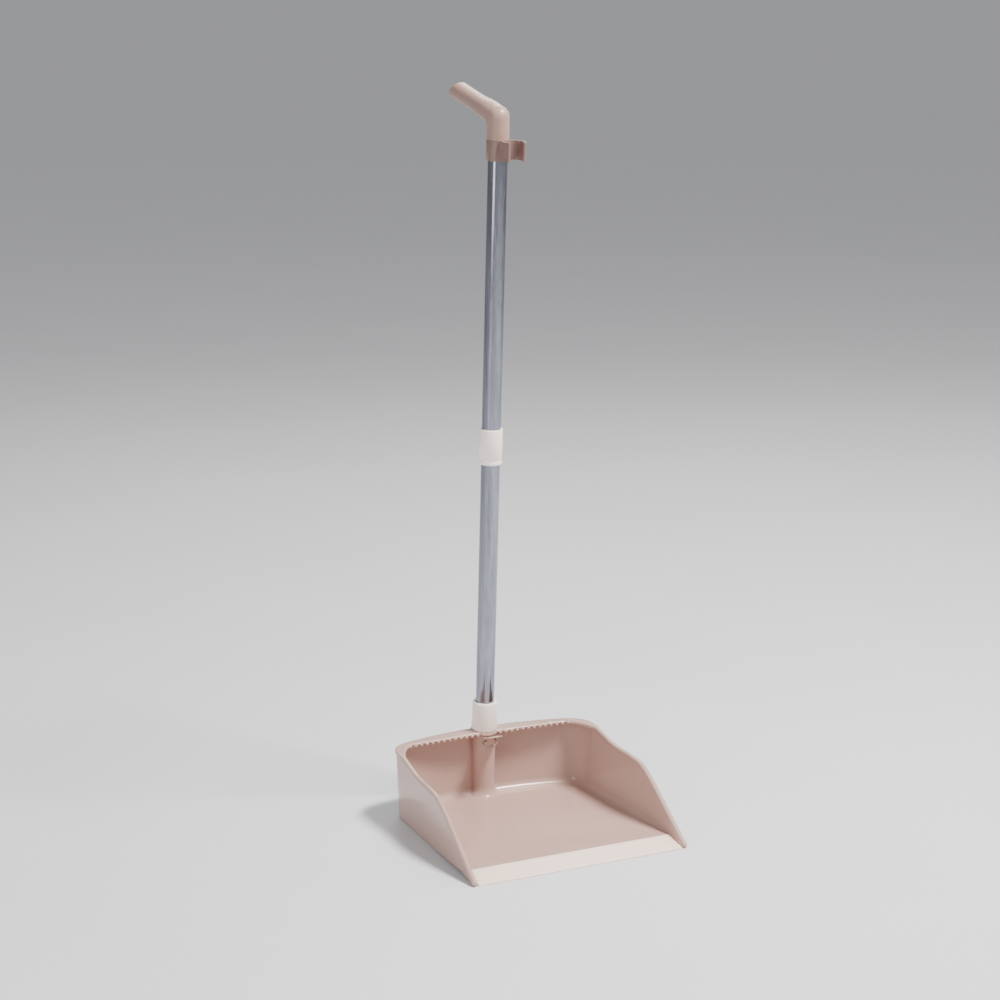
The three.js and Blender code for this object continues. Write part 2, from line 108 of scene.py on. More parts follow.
# grip: a neck, an elbow and an arm that rises towards its tip
NECK_R = 12.1
ARM_R = 10.5
ELBOW_S = 777                    # where the neck's axis and the arm's axis meet
ELBOW_R = 11.9
BEND_R = 17
ARM_RISE = math.radians(8.7)
ARM_LENGTH = 117                 # from the elbow's corner, before the tip is cut
ARM_STEPS = 16
AHEAD = Vector((0, math.cos(ARM_RISE), math.sin(ARM_RISE)))
TIP_TURN = math.radians(36)      # the top of the tip is cut back by a plane turned this far
TIP_CUT_BACK = 7.5
SKIN_EXTRA = 8                   # smoothing rounds this much at the neck's foot, so it is trimmed
SKIN_CELL = 0.6                  # cell size of the remeshed skin, before it is smoothed

# broom clip
CLIP_CENTRE = -39
CLIP_R = 13
CLIP_WALL = 2.4
CLIP_MOUTH = math.radians(50)    # half angle of the open side
CLIP_LOW = 735.5
CLIP_TOP = 756

# release tab
PIN_Y = 232.4
PIN_Z = 68.6
TAB_Z = 73.2                     # underside and top of the tongue
TAB_TOP = 75
TAB_BEND_Y = 229                 # ahead of this line the tongue rises to its tip
TAB_TIP_Y = 219.8
TAB_RISE = 4.2
TAB_HALF = 9

# camera: its turn, pitch and roll, and where the front lip's middle lies as seen from it
VIEW_TURN, VIEW_PITCH, VIEW_ROLL = (math.radians(a) for a in (-24.89, 12.63, -0.47))
LIP_TO_RIGHT, LIP_BELOW, LIP_AHEAD = 0.0877, 0.3885, 2.4397
LENS = 83.1


# ------------------------------------------------------------------ modelling helpers

def begin(name):
    """The object just added gets its name and is opened in edit mode, all selected."""
    made = bpy.context.object
    made.name = made.data.name = name
    bpy.ops.object.mode_set(mode="EDIT")
    bpy.ops.mesh.select_all(action="SELECT")
    return made


def end():
    """Merges doubles, turns faces outwards and closes edit mode."""
    bpy.ops.mesh.select_all(action="SELECT")
    bpy.ops.mesh.remove_doubles(threshold=0.01 * MM)
    bpy.ops.mesh.normals_make_consistent(inside=False)
    bpy.ops.object.mode_set(mode="OBJECT")


def only(*objects):
    """Selects these objects and nothing else, the first one active."""
    bpy.ops.object.select_all(action="DESELECT")
    for each in objects:
        each.select_set(True)
    bpy.context.view_layer.objects.active = objects[0]


def draw_out(step):
    """Extrudes all that is selected by a vector."""
    bpy.ops.mesh.extrude_region_move(TRANSFORM_OT_translate={"value": Vector(step) * MM})


def chain(name, points):
    """One vertex, drawn out from point to point into a string of edges. Left in edit mode."""
    bpy.ops.object.select_all(action="DESELECT")
    bpy.ops.mesh.primitive_plane_add(size=MM)
    made = begin(name)
    bpy.ops.mesh.merge(type="CENTER")
    here = Vector(points[0])
    bpy.ops.transform.translate(value=here * MM)
    for point in points[1:]:
        draw_out(Vector(point) - here)
        here = Vector(point)
    return made


def face(name, outline):
    """A closed outline of (x, y, z) points, filled. Left in edit mode."""
    made = chain(name, [*outline, outline[0]])
    bpy.ops.mesh.select_all(action="SELECT")
    bpy.ops.mesh.remove_doubles(threshold=0.01 * MM)
    bpy.ops.mesh.edge_face_add()
    return made


def slab(name, outline, along):
    """A filled outline, extruded by a vector. Left in edit mode."""
    made = face(name, outline)
    draw_out(along)
    return made


def side_slab(name, outline, half):
    """An outline of (y, z) points, extruded across the pan from -half to +half."""
    made = slab(name, [(-half, y, z) for y, z in outline], (2 * half, 0, 0))
    end()
    return made


def block(name, depth, height, half):
    """A box across the pan, from its ranges of y and z."""
    (front, back), (low, high) = depth, height
    return side_slab(name, [(front, low), (back, low), (back, high), (front, high)], half)


def turned(name, profile, segments=72, closed_ring=False):
    """A profile of (radius, height) turned about Z: a circle, extruded and resized in steps."""
    bpy.ops.object.select_all(action="DESELECT")
    radius, height = profile[0]
    bpy.ops.mesh.primitive_circle_add(vertices=segments, radius=radius * MM, location=(0, 0, 0))
    made = begin(name)
    bpy.ops.transform.translate(value=(0, 0, height * MM))
    if not closed_ring:
        bpy.ops.mesh.edge_face_add()
    steps = profile[1:] + ([profile[0]] if closed_ring else [])
    for next_radius, next_height in steps:
        draw_out((0, 0, next_height - height))
        scale = next_radius / radius
        middle = (0, 0, next_height * MM)
        bpy.ops.transform.resize(value=(scale, scale, 1), center_override=middle)
        radius, height = next_radius, next_height
    end()
    return made


def modify(piece, kind, **settings):
    """Gives the piece a modifier and applies it."""
    only(piece)
    bpy.ops.object.modifier_add(type=kind)
    step = piece.modifiers[-1]
    for key, value in settings.items():
        setattr(step, key, value)
    bpy.ops.object.modifier_apply(modifier=step.name)
    return piece


def combine(base, operation, *tools):
    """Boolean of the base with each tool in turn. The tools are used up."""
    for tool in tools:
        modify(base, "BOOLEAN", operation=operation, solver="EXACT", object=tool)
        bpy.data.objects.remove(tool)
    return base


def trim(piece, point, away):
    """Drops what lies beyond a plane in the direction away, and closes the cut."""
    only(piece)
    bpy.ops.object.mode_set(mode="EDIT")
    bpy.ops.mesh.select_all(action="SELECT")
    bpy.ops.mesh.bisect(plane_co=Vector(point) * MM, plane_no=away, clear_outer=True, use_fill=True)
    bpy.ops.object.mode_set(mode="OBJECT")
    return piece


def duplicate(source, name):
    """A copy with its own mesh."""
    only(source)
    bpy.ops.object.duplicate(linked=False)
    copy = bpy.context.object
    copy.name = copy.data.name = name
    return copy


def merge_into(base, *others):
    """Joins the others' meshes to the base's."""
    only(base, *others)
    bpy.ops.object.join()
    return base


def rounded(piece, width, segments=2, angle=35):
    """Rounds the edges that are sharper than the angle."""
    return modify(piece, "BEVEL", width=width * MM, segments=segments, limit_method="ANGLE",
                  angle_limit=math.radians(angle), use_clamp_overlap=True)


def smooth(piece, angle=35):
    """Smooth shading, but for the edges that are sharper than the angle."""
    only(piece)
    bpy.ops.object.shade_smooth_by_angle(angle=math.radians(angle))
    return piece


def placed(piece, place, tilt=0):
    """Tilts a piece about X, moves it and applies both to its mesh."""
    piece.location, piece.rotation_euler = place, (tilt, 0, 0)
    only(piece)
    bpy.ops.object.transform_apply(location=True, rotation=True, scale=True)
    return piece


HANDLE_AXIS = Vector(JOINTS["handle_lift"]["axis"])
AXIS_POINT = Vector(JOINTS["clip_swivel"]["pos_m"])
AXIS_FOOT = AXIS_POINT - HANDLE_AXIS * (AXIS_POINT.z / HANDLE_AXIS.z)
LEAN = math.atan2(-HANDLE_AXIS.y, HANDLE_AXIS.z)
LIP_MIDDLE = Vector((0, LIP_Y, 0))


def onto_pan(piece):
    """From the pan's frame to the part's frame."""
    return placed(piece, LIP_MIDDLE)


def onto_handle(piece):
    """From the handle's frame to the part's frame."""
    return placed(piece, AXIS_FOOT, LEAN)


def onto_handle_in_pan(piece):
    """From the handle's frame to the pan's frame."""
    return placed(piece, AXIS_FOOT - LIP_MIDDLE, LEAN)


# ------------------------------------------------------------------ curves

def bend(start, corner, finish, steps):
    """Points of a quadratic curve, without its last one."""
    points = []
    for i in range(steps):
        t = i / steps
        parts = zip(start, corner, finish)
        points.append(tuple((1 - t) ** 2 * a + 2 * t * (1 - t) * b + t * t * c for a, b, c in parts))
    return points


def through(knots, steps):
    """A smooth curve through the knots, as points."""
    last = len(knots) - 1
    points = []
    for i in range(last):
        before, a, b, after = (Vector(knots[min(max(i + k, 0), last)]) for k in (-1, 0, 1, 2))
        for j in range(steps):
            t = j / steps
            points.append(0.5 * (2 * a + (b - before) * t + (2 * before - 5 * a + 4 * b - after) * t * t
                                 + (3 * a - before - 3 * b + after) * t ** 3))
    return [*points, Vector(knots[last])]


def half_width(y, z):
    """Outside half width of the pan at a depth and a height."""
    at_ground = FRONT_HALF + (REAR_HALF - FRONT_HALF) * min(y / SIDE_END_Y, 1)
    return at_ground * (1 + z * DRAFT / REAR_HALF)


# side view of the rail's middle line, from the front up to the shelf
RAIL_SIDE = through([
    (3, 3.1), (31.7, 22.8), (60.7, 42.5), (75.6, 52.2), (90.2, 60.4), (103.7, 65.2), (123, 67),
    (143, 67.4), (163.3, 69), (181, 72.8), (SHELF_END_Y, RIM_Z - RAIL_R)], 6)


def comb_edge_y(x):
    """Depth of the shelf's front edge at a distance from its middle."""
    return COMB_Y - COMB_BOW * (x / COMB_HALF) ** 2


def rear_outline(side_inset, back_inset):
    """Plan points from the right side wall round the back to the left one."""
    side, corner_y = REAR_HALF - side_inset, CORNER_Y - back_inset
    control_y = corner_y - BOW_SLOPE * (side - CORNER_X)
    peak_y = corner_y + BOW_SLOPE * CORNER_X
    return [
        *bend((side, SIDE_END_Y), (side - 0.4, control_y), (CORNER_X, corner_y), 12),
        *bend((CORNER_X, corner_y), (0, peak_y), (-CORNER_X, corner_y), 28),
        *bend((-CORNER_X, corner_y), (-side + 0.4, control_y), (-side, SIDE_END_Y), 12),
        (-side, SIDE_END_Y)]


# ------------------------------------------------------------------ pan

def tub(name, inset, front_y, low, high, edge, edge_segments):
    """The pan's plan shape as a solid that widens with height, its bottom edges rounded."""
    plan = [(FRONT_HALF - inset, front_y), *rear_outline(inset, inset), (-FRONT_HALF + inset, front_y)]
    made = slab(name, [(x, y, low) for x, y in plan], (0, 0, high - low))
    widen = (1 + high * DRAFT / REAR_HALF, 1, 1)
    bpy.ops.transform.resize(value=widen, center_override=(0, 0, 0))
    bpy.ops.mesh.select_all(action="DESELECT")
    bpy.ops.object.mode_set(mode="OBJECT")
    for line in made.data.edges:
        line.select = all(abs(made.data.vertices[v].co.z - low * MM) < 0.1 * MM for v in line.vertices)
    bpy.ops.object.mode_set(mode="EDIT")
    bpy.ops.mesh.bevel(offset=edge * MM, segments=edge_segments, affect="EDGES")
    end()
    return made


def pan_walls():
    """The tub's shell, cut to the side view that the rails follow."""
    outside = tub("pan_outside", 0, 0, 0, RIM_Z - 1, 3, 4)
    inside = tub("pan_inside", WALL, -30, WALL, RIM_Z + 30, FLOOR_FILLET, 10)
    side_view = [tuple(p) for p in RAIL_SIDE]
    side_view += [(SHELF_END_Y, RIM_Z + 5), (300, RIM_Z + 5), (300, -5), (3, -5)]
    combine(outside, "INTERSECT", side_slab("side_view", side_view, BEYOND))
    return combine(outside, "DIFFERENCE", inside)


RAMP_END = (STRIP_DEPTH + GAP, STRIP_TOP_Z - STRIP_THICK - GAP)
UNDER_RAMP = [(31, 3.6), (CREST_Y, CREST_Z - WALL)]


def pan_floor():
    """The floor's front part: it rises to a crest, then falls as the ramp under the lip."""
    section = [
        (RAMP_FOOT_Y, 0), (12, 0), *UNDER_RAMP, (FLAT_FROM_Y, 0), (FLAT_FROM_Y + 20, 0.4),
        (FLAT_FROM_Y + 20, WALL), (FLAT_FROM_Y, WALL), (CREST_Y, CREST_Z), (RAMP_END[0], CREST_Z),
        RAMP_END, (RAMP_FOOT_Y, RAMP_FOOT_Z)]
    plate = side_slab("floor_plate", section, BEYOND)
    return combine(plate, "INTERSECT", tub("floor_limit", 1.1, 0, -1, RIM_Z, 0.2, 1))


def pan_shelf():
    """The wide rim at the back, with a slightly bowed front edge that carries the comb."""
    side_inset = -SHELF_OVERHANG - RIM_Z * DRAFT
    rail_x = half_width(SHELF_END_Y, RIM_Z - RAIL_R) - RAIL_INSET
    side = half_width(SHELF_END_Y, RIM_Z) + SHELF_OVERHANG
    plan = [(rail_x, SHELF_END_Y), (side, SHELF_END_Y), *rear_outline(side_inset, -SHELF_OVERHANG),
            (-side, SHELF_END_Y)]
    comb_end_y = comb_edge_y(COMB_HALF)
    plan += bend((-rail_x, SHELF_END_Y), (-TURN_X, TURN_Y), (-COMB_HALF, comb_end_y), 16)
    plan += bend((-COMB_HALF, comb_end_y), (0, COMB_Y + COMB_BOW), (COMB_HALF, comb_end_y), 20)
    plan += bend((COMB_HALF, comb_end_y), (TURN_X, TURN_Y), (rail_x, SHELF_END_Y), 16)
    low = RIM_Z - SHELF_THICK
    made = slab("shelf", [(x, y, low) for x, y in plan], (0, 0, SHELF_THICK))
    end()
    return rounded(made, 1.2, 4, 60)


def rail(side):
    """The rolled rail: round the shelf's inner corner, then down along the side wall."""
    rail_x = half_width(SHELF_END_Y, RIM_Z - RAIL_R) - RAIL_INSET
    level = RIM_Z - RAIL_R + 0.6
    turn = bend((COMB_HALF, comb_edge_y(COMB_HALF) + 2, level + 0.6), (TURN_X, TURN_Y, level + 0.4),
                (rail_x, SHELF_END_Y, RIM_Z - RAIL_R), 18)
    down = [(half_width(p[0], p[1]) - RAIL_INSET, p[0], p[1]) for p in reversed(RAIL_SIDE)]
    path = [(side * x, y, z) for x, y, z in [*turn, *down]]
    made = chain(f"rail_{'right' if side > 0 else 'left'}", path)
    bpy.ops.object.mode_set(mode="OBJECT")
    only(made)
    bpy.ops.object.convert(target="CURVE")
    bar = bpy.context.object
    bar.data.bevel_depth, bar.data.bevel_resolution, bar.data.use_fill_caps = RAIL_R * MM, 6, True
    bpy.ops.object.convert(target="MESH")
    bar = bpy.context.object
    knobs = []
    for x, y, z in (path[0], path[-1]):
        bpy.ops.object.select_all(action="DESELECT")
        bpy.ops.mesh.primitive_uv_sphere_add(segments=24, ring_count=16, radius=RAIL_R * MM)
        knob = begin("rail_end")
        bpy.ops.transform.translate(value=(x * MM, y * MM, z * MM))
        end()
        knobs.append(knob)
    return merge_into(bar, *knobs)


def comb_tooth():
    """A bead on a short stalk: a sphere drawn out towards the shelf."""
    bpy.ops.object.select_all(action="DESELECT")
    bpy.ops.mesh.primitive_uv_sphere_add(segments=16, ring_count=12, radius=TOOTH_R * MM)
    tooth = begin("comb_tooth")
    bpy.ops.mesh.select_all(action="DESELECT")
    bpy.ops.object.mode_set(mode="OBJECT")
    for corner in tooth.data.vertices:
        corner.select = corner.co.y > 0.3 * TOOTH_R * MM
    bpy.ops.object.mode_set(mode="EDIT")
    bpy.ops.transform.translate(value=(0, TOOTH_REACH * MM, 0))
    bpy.ops.transform.resize(value=(0.6, 1, 0.6), center_override=(0, TOOTH_REACH * MM, 0))
    end()
    return tooth


def comb():
    """Row of teeth along the shelf's front edge."""
    first = comb_tooth()
    teeth = []
    for i in range(TOOTH_COUNT):
        tooth = duplicate(first, f"comb_tooth_{i + 1}")
        x = (2 * i / (TOOTH_COUNT - 1) - 1) * COMB_HALF
        bead = Vector((x, comb_edge_y(x) - TOOTH_REACH + 1, RIM_Z - TOOTH_R - 0.1))
        teeth.append(placed(tooth, bead * MM))
    bpy.data.objects.remove(first)
    return merge_into(*teeth)


def socket_column():
    """The hollow post that the handle plugs into, flared where it grows out of the floor."""
    post = turned("socket_column", [
        (10.35, 3), (10.35, -4), (17.5, -4), (17.5, 3.4), (15.6, 5), (14.3, 7.2), (13.4, 10.5),
        (12.9, 15), (13.3, 61.2), (13.9, 61.8), (14.1, 62.2), (14.1, 63.4), (13.8, 64), (13.75, 74),
        (14.2, 75.5), (15.2, 76.6), (15.5, 77.4), (15.5, 80.7), (15.1, SEAT_S), (11.4, SEAT_S),
        (11, SEAT_S - 0.4)], 96, closed_ring=True)
    plug = turned("socket_bottom", [(10.5, 1), (10.5, 3)], 96)
    return onto_handle_in_pan(merge_into(post, plug))


def socket_bore():
    """Room in the floor and the shelf for the post and what it holds."""
    return onto_handle_in_pan(turned("socket_bore", [(11.6, 8), (11.9, SEAT_S + 20)], 96))


def tab_ears():
    """Two small ears on the post that hold the release tab's pin."""
    ears = []
    for side in (-1, 1):
        inner, outer = side * 5.3, side * 8
        ear = slab("tab_ear", [(inner, 229.9, 66), (inner, 238.5, 66), (inner, 238.5, 71.2),
                               (inner, 229.9, 71.2)], (outer - inner, 0, 0))
        end()
        ears.append(rounded(ear, 0.7, 3))
    return ears


def build_pan():
    """Walls, floor, shelf, rails, comb and socket column of the one moulding."""
    shell = combine(pan_walls(), "UNION", pan_floor())
    hollow = [(12, -5), (12, 0), *UNDER_RAMP, (FLAT_FROM_Y, 0), (FLAT_FROM_Y, -5)]
    combine(shell, "DIFFERENCE", side_slab("under_floor", hollow, BEYOND))
    strip_room = [(-10, -5), (RAMP_FOOT_Y, -5), (RAMP_FOOT_Y, RAMP_FOOT_Z), RAMP_END,
                  (RAMP_END[0], 12), (-10, 12)]
    combine(shell, "DIFFERENCE", side_slab("strip_room", strip_room, STRIP_HALF + GAP))
    combine(shell, "UNION", pan_shelf())
    combine(shell, "DIFFERENCE", socket_bore())
    ground = block("below_ground", (-20, 320), (-20, 0), BEYOND)
    post = combine(socket_column(), "DIFFERENCE", ground)
    window = block("nose_window", (228, 240), (TAB_Z - 0.5, TAB_TOP + 1.2), 4.5)
    combine(post, "DIFFERENCE", window)
    pan = merge_into(shell, rail(-1), rail(1), comb(), post, *tab_ears())
    pan.name = pan.data.name = "pan_moulding"
    return onto_pan(smooth(pan, 40))


def build_lip_strip():
    """The soft lip along the front, with a fine raised line along it."""
    slope = (STRIP_TOP_Z - STRIP_THICK) / STRIP_DEPTH
    foot_y = RAMP_FOOT_Y - GAP

    def top(y, raised=0):
        return (y, STRIP_THICK + slope * y + raised)

    strip = side_slab("soft_lip_strip", [
        (0.5, 0), (foot_y, 0), (foot_y, slope * foot_y), (STRIP_DEPTH, slope * STRIP_DEPTH),
        (STRIP_DEPTH, STRIP_TOP_Z - 0.3), (STRIP_DEPTH - 0.5, STRIP_TOP_Z), top(24.2), top(23.8, 0.45),
        top(22.6, 0.45), top(22.2), top(4.4), top(4, -0.35), top(1.2, -0.35), (0.3, 1.1), (0, 0.7)],
        STRIP_HALF)
    return onto_pan(smooth(rounded(strip, 0.25, 2, 25), 30))


def build_release_tab():
    """Rocker with a ribbed thumb tongue, a leg down to its pin and a nose into the column."""
    tongue = side_slab("release_tab_blade", [
        (PIN_Y + 1.5, TAB_Z), (PIN_Y + 1.5, TAB_TOP), (TAB_BEND_Y, TAB_TOP),
        (TAB_TIP_Y, TAB_TOP + TAB_RISE), (TAB_TIP_Y - 0.8, TAB_TOP + TAB_RISE - 0.2),
        (TAB_TIP_Y - 0.6, TAB_TOP + TAB_RISE - 1.3), (TAB_BEND_Y, TAB_Z)], TAB_HALF)
    nose = block("release_tab_nose", (PIN_Y, PIN_Y + 5.2), (TAB_Z, TAB_TOP - 0.02), 4)
    leg = block("release_tab_leg", (PIN_Y - 1.2, PIN_Y + 1.6), (PIN_Z - 2.2, TAB_TOP - 0.05), 5)
    ribs = []
    for y in (220.9, 222.9, 224.9):
        z = TAB_TOP + TAB_RISE * (TAB_BEND_Y - y) / (TAB_BEND_Y - TAB_TIP_Y)
        rib = side_slab("tab_rib", [(y - 0.4, z - 0.6), (y - 0.3, z + 0.5), (y + 0.3, z + 0.4),
                                    (y + 0.4, z - 0.8)], 6.5)
        ribs.append(rounded(rib, 0.12, 2))
    rocker = merge_into(rounded(combine(tongue, "UNION", nose, leg), 0.45, 3), *ribs)
    rocker.name = rocker.data.name = "release_tab_rocker"
    return onto_pan(smooth(rocker))


# ------------------------------------------------------------------ handle

def build_lower_sleeve():
    """Ferrule that holds the lower tube, with the spigot that goes down into the column."""
    seat = SEAT_S + GAP
    sleeve = turned("lower_sleeve_body", [
        (8, 20), (8, seat + 3), (BORE_R, seat + 3), (BORE_R, SLEEVE_TOP_S - 0.3),
        (BORE_R + 0.3, SLEEVE_TOP_S), (13.1, SLEEVE_TOP_S), (13.65, SLEEVE_TOP_S - 0.25),
        (13.9, SLEEVE_TOP_S - 0.9), (14.05, SLEEVE_TOP_S - 4), (14.6, seat + 1), (14.4, seat + 0.3),
        (14, seat), (10.7, seat), (10.68, 77.5), (9.5, 76.8), (9.5, 72.2), (10.65, 71.5), (10.2, 21),
        (9.6, 20)], 96, closed_ring=True)
    return onto_handle(smooth(sleeve))


def build_tube(name, low, high):
    """Thin drawn tube with softened ends."""
    inner, soft = TUBE_R - TUBE_WALL, 0.25
    tube = turned(name, [
        (inner, low + soft), (inner + soft, low), (TUBE_R - soft, low), (TUBE_R, low + soft),
        (TUBE_R, high - soft), (TUBE_R - soft, high), (inner + soft, high), (inner, high - soft)],
        96, closed_ring=True)
    return onto_handle(smooth(tube))


def build_coupling():
    """Plastic coupling between the tubes: a plain barrel with a stepped lower lip."""
    low, high = COUPLING_S
    coupling = turned("mid_coupling_barrel", [
        (BORE_R, low), (12, low), (12.5, low + 0.25), (12.7, low + 0.9), (12.7, low + 4.2),
        (12.45, low + 4.6), (12.45, low + 5.2), (12.7, low + 5.6), (12.8, high - 1.2),
        (12.6, high - 0.4), (12.1, high), (BORE_R, high), (BORE_R, COUPLING_MID + STOP_HALF),
        (8, COUPLING_MID + STOP_HALF), (8, COUPLING_MID - STOP_HALF),
        (BORE_R, COUPLING_MID - STOP_HALF)], 96, closed_ring=True)
    return onto_handle(smooth(coupling))


def elbow_core():
    """Carries the neck straight up to the elbow, with a round top, so its outer corner is full."""
    dome = [(ELBOW_R * math.cos(a), ELBOW_S + ELBOW_R * math.sin(a)) for a in
            (math.radians(10 * i) for i in range(9))]
    return turned("grip_elbow", [(ELBOW_R, ELBOW_S - 22), *dome], 64)


def arm_core():
    """Carries the arm straight back into the elbow."""
    core = turned("grip_arm_root", [(ELBOW_R - 0.1, 0), (ELBOW_R - 0.3, 30)], 64)
    return placed(core, (0, 0, ELBOW_S * MM), ARM_RISE - math.radians(90))


def arm_radius(t):
    """Narrows smoothly from the neck's radius, with t from 0 at the bend to 1 at the tip."""
    ease = min(max((t - 0.05) / 0.35, 0), 1)
    return NECK_R + (ARM_R - NECK_R) * ease * ease * (3 - 2 * ease)


def grip_skin(foot):
    """A circle raised from the neck's foot, spun round the bend and drawn out along the arm."""
    turn = math.radians(90) - ARM_RISE
    reach = BEND_R * math.tan(turn / 2)
    bend_start = ELBOW_S - reach
    bpy.ops.object.select_all(action="DESELECT")
    bpy.ops.mesh.primitive_circle_add(vertices=64, radius=NECK_R * MM, location=(0, 0, 0))
    skin = begin("grip_moulding")
    bpy.ops.transform.translate(value=(0, 0, foot * MM))
    bpy.ops.mesh.edge_face_add()
    draw_out((0, 0, bend_start - foot))
    bpy.ops.mesh.spin(steps=14, angle=turn, center=(0, BEND_R * MM, bend_start * MM), axis=(1, 0, 0))
    middle = Vector((0, 0, ELBOW_S)) + AHEAD * reach
    step = AHEAD * ((ARM_LENGTH - reach) / ARM_STEPS)
    radius = NECK_R
    for i in range(1, ARM_STEPS + 1):
        draw_out(step)
        middle = middle + step
        scale = arm_radius(i / ARM_STEPS) / radius
        bpy.ops.transform.resize(value=(scale,) * 3, center_override=middle * MM)
        radius = arm_radius(i / ARM_STEPS)
    end()
    return skin


def build_grip():
    """Neck, elbow and arm in one, with a softened skin and room for the tube's end."""
    grip = grip_skin(NECK_S - SKIN_EXTRA)
    tip_face = Vector((0, math.cos(ARM_RISE + TIP_TURN), math.sin(ARM_RISE + TIP_TURN)))
    trim(grip, Vector((0, 0, ELBOW_S)) + AHEAD * (ARM_LENGTH - TIP_CUT_BACK), tip_face)
    combine(grip, "UNION", elbow_core(), arm_core())
    rounded(grip, 3.2, 5, 40)
    modify(grip, "REMESH", mode="VOXEL", voxel_size=SKIN_CELL * MM)
    modify(grip, "SMOOTH", factor=0.5, iterations=64)
    trim(grip, (0, 0, NECK_S), (0, 0, -1))
    room = turned("tube_room", [(BORE_R, NECK_S - 10), (BORE_R, TUBE_TOP_S + GAP)], 96)
    combine(grip, "DIFFERENCE", room)
    return onto_handle(smooth(grip, 60))


def clip_hook(inner):
    """The C: its section, spun round from one edge of the mouth to the other."""
    first = -math.pi / 2 + CLIP_MOUTH
    section = []
    for radius, z in ((inner, CLIP_LOW), (CLIP_R, CLIP_LOW), (CLIP_R, CLIP_TOP), (inner, CLIP_TOP)):
        section.append((radius * math.cos(first), CLIP_CENTRE + radius * math.sin(first), z))
    hook = face("clip_hook", section)
    sweep = 2 * math.pi - 2 * CLIP_MOUTH
    bpy.ops.mesh.spin(steps=56, angle=sweep, center=(0, CLIP_CENTRE * MM, 0), axis=(0, 0, -1))
    end()
    return hook


def clip_bead(side, inner):
    """Rounded edge of the mouth on one side."""
    reach = inner + CLIP_WALL / 2
    bead = turned("clip_bead", [(1.5, CLIP_LOW), (1.5, CLIP_TOP)], 24)
    x, y = side * reach * math.sin(CLIP_MOUTH), CLIP_CENTRE - reach * math.cos(CLIP_MOUTH)
    return placed(bead, (x * MM, y * MM, 0))


def build_broom_clip():
    """Collar round the tube, a short arm and the C-shaped clip for the broom's stick."""
    low, high = COLLAR_S
    inner = CLIP_R - CLIP_WALL
    back, root = CLIP_CENTRE + inner + 0.6, CLIP_CENTRE + CLIP_R
    collar = turned("broom_clip_collar", [(5, low), (12.7, low), (12.7, high), (5, high)], 96)
    arm = side_slab("clip_arm", [(back, CLIP_LOW), (root, CLIP_LOW), (-8, low + 7), (-8, high),
                                 (-13.7, high), (root, CLIP_TOP), (back, CLIP_TOP)], 4)
    combine(collar, "UNION", clip_hook(inner), arm, clip_bead(-1, inner), clip_bead(1, inner))
    combine(collar, "DIFFERENCE", turned("clip_room", [(BORE_R, low - 5), (BORE_R, high + 5)], 96))
    return onto_handle(smooth(rounded(collar, 0.5, 3, 50)))


# ------------------------------------------------------------------ shader maths

class Wire:
    """A value in a finish's node tree. Arithmetic on it adds Math nodes."""

    def __init__(self, finish, socket):
        self.finish, self.socket = finish, socket

    def _math(self, operation, *values):
        return self.finish.add("ShaderNodeMath", {"operation": operation}, dict(enumerate(values)))

    def __add__(self, other):
        return self._math("ADD", self, other)

    def __sub__(self, other):
        return self._math("SUBTRACT", self, other)

    def __rsub__(self, other):
        return self._math("SUBTRACT", other, self)

    def __mul__(self, other):
        return self._math("MULTIPLY", self, other)

    __radd__ = __add__
    __rmul__ = __mul__

    def clamped(self, low, high):
        """Kept between two limits."""
        return self._math("MINIMUM", self._math("MAXIMUM", self, low), high)


class Finish:
    """A material in the making: its tree, its main shader and its object coordinates."""

    def __init__(self, name, constants):
        self.material = bpy.data.materials.new(name)
        self.material.use_nodes = True
        self.tree = self.material.node_tree
        self.main = self.tree.nodes["Principled BSDF"]
        for key, value in constants.items():
            self.main.inputs[key].default_value = value
        self.place = self.add("ShaderNodeTexCoord", output="Object")

    def add(self, kind, settings=None, values=None, output=0):
        """Adds a node: its settings first, then the values or links of its sockets."""
        node = self.tree.nodes.new(kind)
        for key, value in (settings or {}).items():
            setattr(node, key, value)
        for key, value in (values or {}).items():
            if isinstance(value, Wire):
                self.tree.links.new(value.socket, node.inputs[key])
            else:
                node.inputs[key].default_value = value
        return Wire(self, node.outputs[output])

    def noise(self, scale, detail=3.0, stretch=(1, 1, 1), tilt=0):
        """Smooth noise over the object, optionally drawn out along an axis."""
        at = self.add("ShaderNodeMapping", values={"Vector": self.place, "Rotation": (tilt, 0, 0),
                                                   "Scale": stretch})
        return self.add("ShaderNodeTexNoise", values={"Vector": at, "Scale": scale, "Detail": detail})

    def blend(self, factor, first, second):
        """Mixes two colours by a factor."""
        return self.add("ShaderNodeMix", {"data_type": "RGBA"},
                        {0: factor, 6: (*first, 1.0), 7: (*second, 1.0)}, output=2)

    def bump(self, height, strength, distance):
        """A normal that follows a height."""
        return self.add("ShaderNodeBump", values={"Height": height, "Strength": strength,
                                                  "Distance": distance})

    def done(self, wires):
        """Connects the wires to the main shader and hands over the material."""
        for key, wire in wires.items():
            self.tree.links.new(wire.socket, self.main.inputs[key])
        return self.material


def paint(red, green, blue):
    """A colour from its everyday 0-255 values."""
    return tuple(((c / 255 + 0.055) / 1.055) ** 2.4 for c in (red, green, blue))


